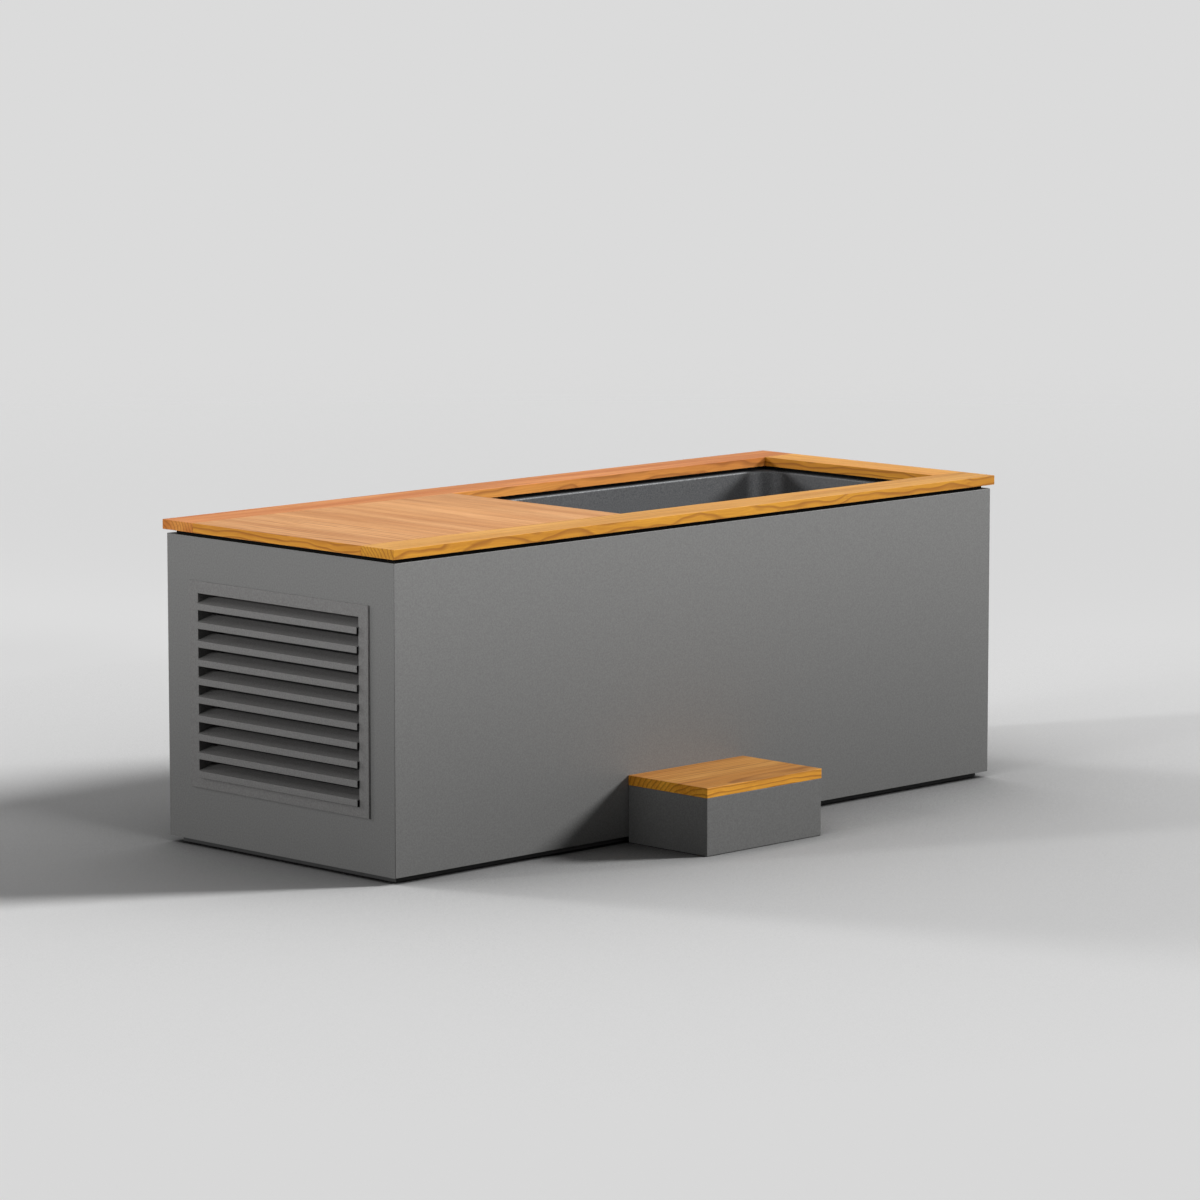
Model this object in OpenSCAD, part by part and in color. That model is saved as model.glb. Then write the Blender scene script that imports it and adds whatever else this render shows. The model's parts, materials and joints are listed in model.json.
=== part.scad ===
// Cold plunge tub: a clad cabinet with a timber top, an insulated steel tub at one end,
// a cooling plant behind a louvred grille at the other, and a loose timber step.
// X runs along the length with the grille at -X, Y runs across with the step at -Y,
// and the origin lies on the floor under the middle of the cabinet.

/* [Cabinet] */
// Length of the timber top
top_l = 2200; // [2000:10:2400]
// Width of the timber top
top_w = 854; // [800:2:900]
// Height of the cladding's top edge above the floor
body_top = 787; // [720:1:900]
// How far the timber top stands out past the cladding
overhang = 8; // [2:1:14]
// Gap between the floor and the cladding's bottom edge
skirt_gap = 16; // [8:1:30]
// Thickness of the cladding sheet
panel_t = 3; // [2:0.5:4]
// How far the cladding's folded edges lie on the frame
panel_seat = 14; // [8:1:15]
// How far the base and the frame stand back from the cladding's face
base_inset = 23; // [16:1:30]
// Thickness of the base board that everything stands on
base_t = 40; // [30:1:60]
// Side of the square tube that the frame is welded from
frame_s = 40; // [40:1:50]
// Wall of the square tube
frame_t = 3; // [2:0.5:4]
// Thickness of the bulkhead between the tub and the cooling plant
bulkhead_t = 12; // [9:1:18]

/* [Timber top] */
// Thickness of the timber top
timber_t = 25; // [18:1:40]
// Width of the two long rails and of the end board
rail_w = 116; // [112:1:120]
// Length of the deck over the cooling plant
bay_deck_l = 891; // [860:1:930]
// Height of the dark spacer strips under the timber
spacer_h = 10; // [6:1:16]
// How far the spacer strips stand back from the cladding's face
spacer_inset = 17; // [8:1:24]
// Width of the spacer strips
spacer_w = 70; // [60:1:78]
// Width of the battens that tie the deck boards together
batten_w = 60; // [30:1:80]
// Thickness of the battens
batten_t = 22; // [12:1:30]

/* [Tub] */
// How far the tub's walls stand outside the opening in the timber
rim_reveal = 5; // [2:1:8]
// Depth of the basin below the rim
basin_depth = 620; // [500:5:640]
// Radius of the basin's upright corners at the rim
corner_r = 80; // [72:1:110]
// Radius between the basin's walls and its floor
floor_r = 45; // [20:1:45]
// Slope of the basin's walls, in degrees
draft = 2.5; // [0.5:0.25:2.5]
// Radius of the rolled edge at the rim
rim_r = 7; // [4:1:10]
// Thickness of the tub's steel
shell_t = 3; // [2:0.5:4]
// How far the rim lies on the frame
rim_seat = 22; // [10:1:22]
// Clearance between the tub and its foam jacket
jacket_gap = 1; // [0.5:0.5:3]

/* [Louvre grille] */
// Number of blades
blade_n = 10; // [6:1:10]
// Distance from one blade to the next
blade_pitch = 47.2; // [44:0.1:48]
// Height of each blade's upright front lip
lip_h = 16.5; // [10:0.5:20]
// Thickness of the blades
blade_t = 2; // [1.5:0.5:2.5]
// Depth of each blade's sloping part
blade_depth = 56; // [40:1:60]
// Slope of the blades, in degrees
blade_slope = 14; // [8:1:20]
// Height of the lowest lip above the floor
lowest_lip = 180; // [178:1:190]
// Inner width of the grille's frame
grille_w = 594; // [500:2:600]
// Height of the frame's inner bottom edge above the floor
grille_z = 178; // [170:1:180]
// Inner height of the grille's frame
grille_h = 474; // [470:1:500]
// Face width of the frame's sides
grille_side = 34; // [20:1:36]
// Face width of the frame's bottom bar
grille_foot = 25; // [16:1:30]
// Face width of the frame's top bar
grille_head = 25; // [16:1:34]
// How far the frame's face hangs over the top of the opening
grille_brow = 6; // [0:1:8]
// How far the frame's face stands proud of the cladding
grille_proud = 5.5; // [3:0.5:6]
// How far the lips stand proud of the frame's face
lip_proud = 7; // [2:0.5:8]
// Thickness of the frame's sleeve through the cladding
sleeve_t = 3; // [2:0.5:5]
// Thickness of the dust screen behind the blades
screen_t = 5; // [3:0.5:6]

/* [Step] */
// Length of the step
step_l = 420; // [360:5:500]
// Depth of the step
step_d = 276; // [240:1:320]
// Height of the tread's top
step_h = 173.5; // [150:0.5:220]
// Thickness of the tread
tread_t = 25.5; // [18:0.5:40]
// How far the tread stands past the box
tread_lip = 1; // [0:0.5:6]
// Place of the step's middle along the tub
step_x = -80; // [-300:5:300]
// Thickness of the box's sheet
step_t = 3; // [2:0.5:4]
// Height of the rubber glides in the step's corners
glide_h = 14; // [8:1:20]

/* [Pipes and fittings] */
// Outer radius of the water pipes
pipe_r = 16; // [12:0.5:20]
// Wall of the pipe sockets
socket_t = 4; // [3:0.5:6]
// Height of the suction fitting above the floor
suction_z = 262; // [258:1:300]
// Height of the return fitting above the floor
return_z = 470; // [440:1:500]
// Radius of the wall fittings' flanges
flange_r = 46; // [40:1:55]
// Radius of the swivelling ball in the return fitting
ball_r = 19; // [16:0.5:22]
// Clearance round the swivelling ball
ball_gap = 0.3; // [0.2:0.1:0.6]
// Radius of the drain's thread
drain_thread_r = 13.2; // [10:0.1:16]
// Length of the drain's thread
drain_thread_l = 20; // [12:1:30]
// Bore radius of the drain outlet
drain_bore_r = 9.5; // [6:0.5:9.5]

/* [Cooling plant] */
// Length of the chiller along the tub
chiller_l = 430; // [420:5:460]
// Width of the chiller
chiller_w = 390; // [370:5:400]
// Height of the chiller
chiller_h = 450; // [440:5:480]
// Height of the rubber feet under the plant
mount_h = 20; // [12:1:30]
// Radius of the fan's blades
fan_r = 150; // [100:1:155]
// Number of fan blades
fan_blades = 5; // [3:1:7]
// Number of cooling fins
fin_n = 26; // [12:1:40]
// Radius of the compressor
compressor_r = 62; // [45:1:64]
// Radius of the evaporator barrel
barrel_r = 52; // [35:1:54]
// Radius of the filter canister
filter_r = 66; // [50:1:72]
// Height of the filter canister
filter_h = 330; // [290:5:350]
// Height of the filter's pleated cartridge
cartridge_h = 254; // [200:1:260]
// Radius of the cartridge
cartridge_r = 54; // [30:1:56]
// Number of pleats in the cartridge
pleat_n = 40; // [24:2:48]
// Radius of the pump's motor
pump_r = 52; // [40:1:58]

/* [Hidden] */
$fn = 48;
touch = 0.3;
cut = 1;

body_l = top_l - 2 * overhang;
body_w = top_w - 2 * overhang;
panel_z = skirt_gap;
frame_top = body_top - panel_t;
timber_z = body_top + spacer_h;
base_x = body_l / 2 - base_inset;
base_y = body_w / 2 - base_inset;
frame_in_y = base_y - frame_s;
post_top = frame_top - frame_s;

open_x0 = bay_deck_l - top_l / 2;
open_x1 = top_l / 2 - rail_w;
open_y = top_w / 2 - rail_w;

spacer_x = body_l / 2 - spacer_inset;
spacer_y = body_w / 2 - spacer_inset;

tub_x = (open_x0 + open_x1) / 2;
tub_l = open_x1 - open_x0 + 2 * rim_reveal;
tub_w = 2 * (open_y + rim_reveal);
rim_z = frame_top + shell_t;
basin_z = rim_z - basin_depth;
core_l = tub_l - 2 * corner_r;
core_w = tub_w - 2 * corner_r;
flange_w = frame_in_y + rim_seat - tub_w / 2;
bulk_rail_x = tub_x - tub_l / 2 - flange_w + rim_seat - frame_s;
bulk_x = bulk_rail_x - bulkhead_t;
jacket_x0 = bulk_rail_x + frame_s + touch;
jacket_x1 = base_x - frame_s - touch;
jacket_y = frame_in_y - touch;
jacket_z = base_t + touch;
jacket_top = post_top;

grille_x = -body_l / 2;
sleeve_depth = blade_depth + blade_t + screen_t;
cutout_gap = 1;

suction_y = 180;
fitting_hole_r = pipe_r + 6;
flange_t = 8;
nut_t = 14;
tail_l = 6;
tail_out = shell_t + nut_t + tail_l;
socket_in = 6;
elbow_l = 14;
socket_gap = 0.6;
wall_drop = (shell_t + nut_t) * sin(draft);
ball_back = 4;
nozzle_r = 9;
valve_l = 56;
bonnet_h = 20;
bonnet_r = 9;
spindle_h = 12;
spindle_r = 4;
lever_l = 70;
lever_t = 5;

plant_x = grille_x + sleeve_depth;
plenum = 14;
chiller_x = plant_x + plenum;
chiller_y = 16 - frame_in_y;
chiller_z = base_t + mount_h;
tray_h = 24;
case_t = 1.5;
coil_t = 36;
coil_x = chiller_x + 6;
fan_axis_y = chiller_y + chiller_w / 2;
fan_axis_z = chiller_z + tray_h + (chiller_h - tray_h) / 2;
shroud_x = coil_x + coil_t + 8;
shroud_t = 2;
fan_gap = 6;
hub_r = 38;
hub_l = 34;
fan_x = shroud_x + 8;
motor_x = fan_x + hub_l + 4;
motor_l = 60;
motor_r = 42;
shaft_r = 4;
shaft_gap = 0.05;
hub_floor = 6;
strut_t = 3;
ring_depth = motor_x + strut_t - shroud_x;
shaft_l = motor_x + strut_t - fan_x - hub_floor - touch;

filter_x = chiller_x + 135;
filter_y = suction_y + 90;
filter_z = base_t + mount_h;
port_z = filter_z + filter_h - 40;
port_l = filter_r + 24;
canister_t = 4;
canister_floor = 8;
cartridge_z = filter_z + canister_floor + touch;
lid_t = 18;
lid_over = 8;
pump_x = bulk_x - 214;
pump_z = base_t + mount_h + pump_r + 58;
suction_turn_x = bulk_x - 104;
pump_turn_x = pump_x - 120;
foot_x0 = 150;
foot_x1 = 50;
foot_y = 50;
volute_l = 50;
volute_r = 66;
pump_l = 190;
pump_stub = 20;
pump_rise = 14;
case_side_y = chiller_y + chiller_w;
barrel_x = chiller_x + chiller_l - barrel_r - 18;
barrel_y = case_side_y - barrel_r - 14;
barrel_z = chiller_z + tray_h;
barrel_h = return_z + pipe_r + 8 - barrel_z;
return_y = case_side_y + 50;
compressor_x = chiller_x + chiller_l - compressor_r - 24;
compressor_y = chiller_y + compressor_r + 26;
compressor_h = 190;
line_r = 4;
hot_stub = [-30, 0];
cold_stub = [20, 10];
line_z = chiller_z + 265;
hot_z = line_z + 55;
cold_z = line_z + 25;
hot_line_y = chiller_y + 8;
header_t = 10;
header_over = 3;
pass_gap = 3;
stub_l = 6;
lock_nut_t = 6;
uv_l = 180;
uv_r = 34;
uv_x1 = bulk_x - valve_l - 64;

drain_x = open_x0 + 150;
drain_z = base_t + pipe_r + 40;
drain_tail = 24;
drain_flange_t = 3;
outlet_x = bulk_x - 94;
outlet_l = 60;
outlet_nut_t = 5;
drain_valve_y = body_w / 2 - outlet_l - 109;
gland_x = chiller_x + 315;
gland_r = 11;
cable_r = 6;

step_y1 = -body_w / 2 - touch;
step_y0 = step_y1 - step_d;
step_x0 = step_x - step_l / 2;
step_x1 = step_x + step_l / 2;
box_top = step_h - tread_t;
box_z = 1;

// A block from its lowest corner to its highest
module span(low, high) {
    translate(low) cube(high - low);
}

// Turns its children's +Z towards the direction v
module along(v) {
    rotate([0, acos(v[2] / norm(v)), atan2(v[1], v[0])]) children();
}

// A round bar from one point to another
module rod(a, b, r) {
    translate(a) along(b - a) cylinder(h = norm(b - a), r = r);
}

function unit(v) = v / norm(v);

// Rigid pipe through a list of points, with a socketed elbow at each square turn
module pipe_run(points, r) {
    last = len(points) - 1;
    turn_r = 1.5 * r;
    for (i = [0 : last - 1]) {
        ahead = unit(points[i + 1] - points[i]);
        start = i == 0 ? 0 : turn_r + elbow_l / 2;
        end = i == last - 1 ? 0 : turn_r + elbow_l / 2;
        rod(points[i] + start * ahead, points[i + 1] - end * ahead, r);
    }
    for (i = [1 : last - 1]) {
        elbow(points[i], unit(points[i - 1] - points[i]), unit(points[i + 1] - points[i]), r, turn_r);
    }
}

// A quarter turn between two directions that lead away from a corner, with a socket at each end
module elbow(corner, back, ahead, r, turn_r) {
    centre = corner + turn_r * (back + ahead);
    side = cross(ahead, back);
    multmatrix([for (k = [0 : 2]) [-ahead[k], -back[k], side[k], centre[k]]])
        rotate_extrude(angle = 90) translate([turn_r, 0]) circle(r = r + socket_t - 1);
    for (d = [back, ahead]) rod(corner + turn_r * d, corner + (turn_r + elbow_l) * d, r + socket_t);
}

// How far the basin's inner wall stands from a corner's axis at the height z
function reach(z) = corner_r - (rim_z - z) * tan(draft);
// Half of the basin's section from a corner's axis outwards, grown by extra all round
module wall_section(extra, top) {
    low = basin_z - extra;
    rr = floor_r + extra;
    grow = extra / cos(draft);
    centre = reach(low + rr) + grow - rr / cos(draft);
    arc = [for (i = [0 : 8]) let (a = i * (90 - draft) / 8) [centre + rr * sin(a), low + rr - rr * cos(a)]];
    polygon(concat([[0, low]], arc, [[reach(top) + grow, top], [0, top]]));
}

// A section carried round the basin's rounded rectangle and filled in
module round_basin(low, top) {
    span([-core_l / 2, -core_w / 2, low], [core_l / 2, core_w / 2, top]);
    for (s = [0, 180]) rotate(s) {
        translate([core_l / 2, 0, 0]) rotate([90, 0, 0]) linear_extrude(core_w, center = true) children();
        translate([0, core_w / 2, 0]) rotate([90, 0, 90]) linear_extrude(core_l, center = true) children();
        translate([core_l / 2, core_w / 2, 0]) rotate_extrude(angle = 90) children();
        translate([core_l / 2, -core_w / 2, 0]) rotate(-90) rotate_extrude(angle = 90) children();
    }
}

// The rim's rolled edge, as what is cut away above the wall
module rim_section() {
    flare = reach(rim_z - rim_r);
    arc = [for (i = [0 : 6]) let (a = i * 15)
        [flare + rim_r * (1 - cos(a)), rim_z - rim_r + rim_r * sin(a)]];
    polygon(concat([[0, rim_z - rim_r]], arc, [[flare + rim_r, rim_z + cut], [0, rim_z + cut]]));
}

// Places children on the tub's inner left wall, with +Z pointing into the basin.
// The wall leans, so that the fitting's tail meets a level pipe at the height z.
module on_left_wall(y, z) {
    up = z + wall_drop;
    translate([tub_x - core_l / 2 - reach(up), y, up]) rotate([0, 90 - draft, 0]) children();
}

// Cabinet

module base_board() {
    color("#1c1c1c") span([-base_x, -base_y, 0], [base_x, base_y, base_t]);
}

// The frame's bars, each narrowed by inset on its sides and lengthened by over at its ends
module frame_bars(inset, over) {
    for (x = [-base_x, bulk_rail_x, base_x - frame_s]) {
        for (y = [-base_y, frame_in_y]) {
            span([x + inset, y + inset, base_t - over], [x + frame_s - inset, y + frame_s - inset, post_top]);
        }
        span([x + inset, -frame_in_y - over, post_top + inset],
            [x + frame_s - inset, frame_in_y + over, frame_top - inset]);
    }
    for (y = [-base_y, frame_in_y]) {
        span([-base_x - over, y + inset, post_top + inset],
            [base_x + over, y + frame_s - inset, frame_top - inset]);
    }
}

// A welded frame of square tube: six posts, two long rails and three cross rails
module steel_frame() {
    color("#3a3d40") difference() {
        frame_bars(0, 0);
        frame_bars(frame_t, 2 * frame_t);
    }
}

module bulkhead() {
    holes = [[suction_y, suction_z], [return_y, return_z], [0, drain_z]];
    color("#b9a27c") difference() {
        span([bulk_x, -base_y, base_t], [bulk_rail_x, base_y, post_top]);
        for (h = holes) {
            translate([bulk_x - cut, h[0], h[1]]) rotate([0, 90, 0])
                cylinder(h = bulkhead_t + 2 * cut, r = pipe_r + pass_gap);
        }
    }
}

// A sheet of cladding seen from outside: l long, with its top and bottom edges folded in
module cladding_sheet(l) {
    fold = base_inset + panel_seat;
    span([-l / 2, 0, panel_z], [l / 2, panel_t, body_top]);
    span([-l / 2, 0, frame_top], [l / 2, fold, body_top]);
    span([-l / 2, 0, panel_z], [l / 2, base_inset, panel_z + panel_t]);
}

// The same sheet with its two ends mitred
module mitred_sheet(l) {
    reach_in = base_inset + panel_seat + cut;
    intersection() {
        cladding_sheet(l);
        translate([0, 0, panel_z]) linear_extrude(body_top - panel_z)
            polygon([[-l / 2, 0], [l / 2, 0], [l / 2 - reach_in, reach_in], [reach_in - l / 2, reach_in]]);
    }
}

module front_cladding() {
    color("#6e6e6e") translate([0, -body_w / 2, 0]) mitred_sheet(body_l);
}

module outlet_holes() {
    for (h = [[outlet_x, drain_z, drain_thread_r + 1], [gland_x, drain_z, gland_r]]) {
        translate([h[0], -cut, h[1]]) rotate([-90, 0, 0]) cylinder(h = panel_t + 2 * cut, r = h[2]);
    }
}

module rear_cladding() {
    color("#6e6e6e") difference() {
        translate([0, body_w / 2, 0]) rotate(180) mitred_sheet(body_l);
        translate([0, body_w / 2 - panel_t, 0]) outlet_holes();
    }
}

module tub_end_cladding() {
    color("#6e6e6e") translate([body_l / 2, 0, 0]) rotate(90) mitred_sheet(body_w);
}

module grille_end_cladding() {
    hole_y = grille_w / 2 + sleeve_t + cutout_gap;
    hole_z0 = grille_z - sleeve_t - cutout_gap;
    hole_z1 = grille_z + grille_h + sleeve_t + cutout_gap;
    color("#6e6e6e") difference() {
        translate([-body_l / 2, 0, 0]) rotate(-90) mitred_sheet(body_w);
        span([grille_x - cut, -hole_y, hole_z0], [grille_x + panel_t + cut, hole_y, hole_z1]);
    }
}

// Dark strips between the cabinet and the timber

module spacer_front() {
    color("#0e0e0e") span([-spacer_x, -spacer_y, body_top], [spacer_x, spacer_w - spacer_y, timber_z]);
}

module spacer_rear() {
    color("#0e0e0e") span([-spacer_x, spacer_y - spacer_w, body_top], [spacer_x, spacer_y, timber_z]);
}

module spacer_tub_end() {
    color("#0e0e0e") span([spacer_x - spacer_w, spacer_w - spacer_y, body_top],
        [spacer_x, spacer_y - spacer_w, timber_z]);
}

module spacer_grille_end() {
    color("#0e0e0e") span([-spacer_x, spacer_w - spacer_y, body_top],
        [spacer_w - spacer_x, spacer_y - spacer_w, timber_z]);
}

module rim_seal() {
    lip = tub_x - tub_l / 2 - flange_w;
    color("#0e0e0e") span([lip, spacer_w - spacer_y, rim_z],
        [open_x0 - rim_reveal - rim_r, spacer_y - spacer_w, timber_z]);
}

// Timber top

module front_rail() {
    color("#c8925c") span([-top_l / 2, -top_w / 2, timber_z], [top_l / 2, -open_y, timber_z + timber_t]);
}

module rear_rail() {
    color("#c8925c") span([-top_l / 2, open_y, timber_z], [top_l / 2, top_w / 2, timber_z + timber_t]);
}

module end_board() {
    color("#c08a55") span([open_x1, -open_y, timber_z], [top_l / 2, open_y, timber_z + timber_t]);
}

module bay_deck() {
    color("#c8925c") span([-top_l / 2, -open_y, timber_z], [open_x0, open_y, timber_z + timber_t]);
}

module deck_battens() {
    side_gap = 5;
    rail_gap = 20;
    x0 = spacer_w - spacer_x + side_gap;
    x1 = bulk_rail_x - rail_gap;
    color("#a97a4c") for (y = [-open_y + batten_w, 0, open_y - batten_w]) {
        span([x0, y - batten_w / 2, timber_z - batten_t], [x1, y + batten_w / 2, timber_z]);
    }
}

// Tub

module tub_shell() {
    edge_x = tub_l / 2 + flange_w;
    edge_y = tub_w / 2 + flange_w;
    color("#8d8f90") difference() {
        union() {
            translate([tub_x, 0, 0]) round_basin(basin_z - shell_t, rim_z) wall_section(shell_t, rim_z);
            span([tub_x - edge_x, -edge_y, rim_z - shell_t], [tub_x + edge_x, edge_y, rim_z]);
            translate([tub_x, 0, 0]) round_basin(rim_z - rim_r - shell_t, rim_z) roll_section();
        }
        translate([tub_x, 0, 0]) round_basin(basin_z, rim_z + cut) wall_section(0, rim_z - rim_r);
        translate([tub_x, 0, 0]) round_basin(rim_z - rim_r, rim_z + cut) rim_section();
        on_left_wall(suction_y, suction_z) fitting_hole();
        on_left_wall(return_y, return_z) fitting_hole();
        translate([drain_x, 0, basin_z - shell_t - cut])
            cylinder(h = shell_t + 2 * cut, r = fitting_hole_r);
    }
}

// The metal behind the rolled rim
module roll_section() {
    base = rim_z - rim_r - shell_t;
    far = reach(rim_z - rim_r) + rim_r + shell_t;
    polygon([[0, base], [reach(base) + shell_t, base], [far, rim_z - shell_t], [far, rim_z], [0, rim_z]]);
}

module fitting_hole() {
    translate([0, 0, -shell_t * 3]) cylinder(h = shell_t * 6, r = fitting_hole_r);
}

// Foam poured round the tub, with room for the fittings' nuts and a duct for the drain pipe
module foam_jacket() {
    duct_w = 3 * fitting_hole_r;
    well_l = tub_l / 8;
    color("#d8d2b8") difference() {
        span([jacket_x0, -jacket_y, jacket_z], [jacket_x1, jacket_y, jacket_top]);
        translate([tub_x, 0, 0]) round_basin(basin_z - shell_t - jacket_gap, jacket_top + cut)
            wall_section(shell_t + jacket_gap, jacket_top + cut);
        for (h = [[suction_y, suction_z], [return_y, return_z]]) {
            translate([jacket_x0 - cut, h[0], h[1]]) rotate([0, 90, 0]) cylinder(h = well_l, r = flange_r);
        }
        span([jacket_x0 - cut, -duct_w / 2, jacket_z - cut],
            [drain_x + 2 * fitting_hole_r, duct_w / 2, basin_z]);
    }
}

// Wall and floor fittings

// A flanged fitting with a six-sided nut behind the wall and a socket for the pipe
module wall_fitting() {
    bevel = 3;
    nut_r = flange_r - 6;
    difference() {
        union() {
            cylinder(h = flange_t, r1 = flange_r, r2 = flange_r - bevel);
            translate([0, 0, -tail_out]) cylinder(h = tail_out, r = fitting_hole_r - touch);
            translate([0, 0, -shell_t - nut_t]) cylinder(h = nut_t, r = nut_r, $fn = 6);
        }
        translate([0, 0, -tail_out - cut])
            cylinder(h = tail_out + flange_t + 2 * cut, r = pipe_r + socket_gap);
    }
}

module suction_fitting() {
    color("#2b2d2f") on_left_wall(suction_y, suction_z) wall_fitting();
}

// A domed cover with rings of holes, six more in each ring
module suction_strainer() {
    rings = 4;
    cover_t = 7;
    hole_r = 2;
    ring_pitch = (flange_r - 14) / rings;
    color("#2b2d2f") on_left_wall(suction_y, suction_z) translate([0, 0, flange_t]) difference() {
        cylinder(h = cover_t, r1 = flange_r - 4, r2 = flange_r - 9);
        for (ring = [1 : rings]) {
            for (i = [0 : ring * 6 - 1]) {
                rotate(i * 60 / ring) translate([ring * ring_pitch, 0, -cut])
                    cylinder(h = cover_t + 2 * cut, r = hole_r);
            }
        }
    }
}

module return_fitting() {
    seat_z = flange_t - ball_back;
    collar_h = 6;
    collar_t = 7;
    color("#2b2d2f") on_left_wall(return_y, return_z) difference() {
        union() {
            wall_fitting();
            cylinder(h = flange_t + collar_h, r = ball_r + collar_t);
        }
        translate([0, 0, seat_z]) sphere(r = ball_r + ball_gap);
        translate([0, 0, -tail_out - cut]) cylinder(h = tail_out, r = pipe_r + socket_gap);
    }
}

// The ball that aims the water, flattened at its mouth
module return_nozzle() {
    seat_z = flange_t - ball_back;
    mouth = 4;
    color("#cfd2d4") on_left_wall(return_y, return_z) translate([0, 0, seat_z]) difference() {
        sphere(r = ball_r);
        translate([0, 0, -ball_r - cut]) cylinder(h = 2 * (ball_r + cut), r = nozzle_r);
        translate([0, 0, ball_r - mouth]) cylinder(h = ball_r, r = ball_r);
    }
}

module drain_fitting() {
    tail = shell_t + drain_tail;
    color("#2b2d2f") translate([drain_x, 0, basin_z]) difference() {
        union() {
            cylinder(h = drain_flange_t, r = flange_r - 8);
            translate([0, 0, -tail]) cylinder(h = tail, r = fitting_hole_r - touch);
            translate([0, 0, -shell_t - nut_t]) cylinder(h = nut_t, r = flange_r - 10, $fn = 6);
        }
        translate([0, 0, -tail - cut]) cylinder(h = tail + drain_flange_t + 2 * cut, r = pipe_r + touch);
    }
}

// A flat cover with eight holes round a ninth
module drain_grid() {
    cover_t = 3;
    hole_r = 4;
    color("#c9cccd") translate([drain_x, 0, basin_z + drain_flange_t]) difference() {
        cylinder(h = cover_t, r = flange_r - 12);
        for (a = [0 : 45 : 315]) rotate(a) {
            translate([14, 0, -cut]) cylinder(h = cover_t + 2 * cut, r = hole_r);
        }
        translate([0, 0, -cut]) cylinder(h = cover_t + 2 * cut, r = hole_r);
    }
}

// Louvre grille

module grille_frame() {
    y0 = grille_w / 2;
    z0 = grille_z;
    z1 = grille_z + grille_h;
    color("#6a6a69") difference() {
        union() {
            span([grille_x - grille_proud, -y0 - grille_side, z0 - grille_foot],
                [grille_x, y0 + grille_side, z1 + grille_head]);
            span([grille_x, -y0 - sleeve_t, z0 - sleeve_t],
                [grille_x + sleeve_depth, y0 + sleeve_t, z1 + sleeve_t]);
        }
        span([grille_x - grille_proud - cut, -y0, z0], [grille_x + cut, y0, z1 - grille_brow]);
        span([grille_x, -y0, z0], [grille_x + sleeve_depth + cut, y0, z1]);
    }
}

module blade_section() {
    rise = blade_depth * tan(blade_slope);
    under = blade_t / cos(blade_slope);
    polygon([[0, 0], [0, lip_h], [blade_depth, lip_h + rise], [blade_depth, lip_h + rise - under],
        [blade_t, lip_h + blade_t * tan(blade_slope) - under], [blade_t, 0]]);
}

module grille_blades() {
    front = grille_x - grille_proud - lip_proud;
    color("#6a6a69") for (i = [0 : blade_n - 1]) {
        translate([front, grille_w / 2, lowest_lip + i * blade_pitch]) rotate([90, 0, 0])
            linear_extrude(grille_w) blade_section();
    }
}

module dust_screen() {
    x1 = grille_x + sleeve_depth;
    color("#0b0b0b") span([x1 - screen_t, -grille_w / 2, grille_z],
        [x1, grille_w / 2, grille_z + grille_h]);
}

// Chiller

module chiller_tray() {
    color("#9aa0a3") difference() {
        span([chiller_x, chiller_y, chiller_z], [chiller_x + chiller_l, case_side_y, chiller_z + tray_h]);
        span([chiller_x + case_t, chiller_y + case_t, chiller_z + case_t],
            [chiller_x + chiller_l - case_t, case_side_y - case_t, chiller_z + tray_h + cut]);
    }
}

module chiller_case() {
    z0 = chiller_z + tray_h;
    z1 = chiller_z + chiller_h;
    x1 = chiller_x + chiller_l;
    vent_n = 9;
    vent_w = 16;
    vent_z0 = z0 + 120;
    vent_z1 = z1 - 60;
    vent_y = chiller_y + 60;
    color("#c3c7c9") difference() {
        span([chiller_x, chiller_y, z0], [x1, case_side_y, z1]);
        span([chiller_x - cut, chiller_y + case_t, z0 - cut],
            [x1 - case_t, case_side_y - case_t, z1 - case_t]);
        for (z = [port_z, return_z]) {
            translate([barrel_x, case_side_y - case_t - cut, z]) rotate([-90, 0, 0])
                cylinder(h = case_t + 2 * cut, r = pipe_r + pass_gap);
        }
        for (i = [0 : vent_n - 1]) {
            y = vent_y + 2 * i * vent_w;
            span([x1 - case_t - cut, y, vent_z0], [x1 + cut, y + vent_w, vent_z1]);
        }
    }
}

// Upright fins between two headers, on rows of copper tube
module condenser_coil() {
    z0 = chiller_z + case_t;
    z1 = chiller_z + chiller_h - case_t - touch;
    y0 = chiller_y + case_t + touch;
    y1 = case_side_y - case_t - touch;
    first = y0 + header_t + 5;
    pitch = (y1 - header_t - 5 - first) / (fin_n - 1);
    fin_t = 1;
    rows = 6;
    tube_r = 4.8;
    tube_x = coil_x + coil_t / 2;
    color("#b5b9bb") {
        for (i = [0 : fin_n - 1]) {
            y = first + i * pitch;
            span([coil_x, y - fin_t / 2, z0], [coil_x + coil_t, y + fin_t / 2, z1]);
        }
        for (y = [y0, y1 - header_t]) {
            span([coil_x - header_over, y, z0], [coil_x + coil_t + header_over, y + header_t, z1]);
        }
    }
    color("#b87333") for (k = [0 : rows - 1]) {
        z = z0 + (k + 0.5) * (z1 - z0) / rows;
        rod([tube_x, y0 + header_t / 2, z], [tube_x, y1 - header_t / 2, z], tube_r);
    }
}

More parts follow.
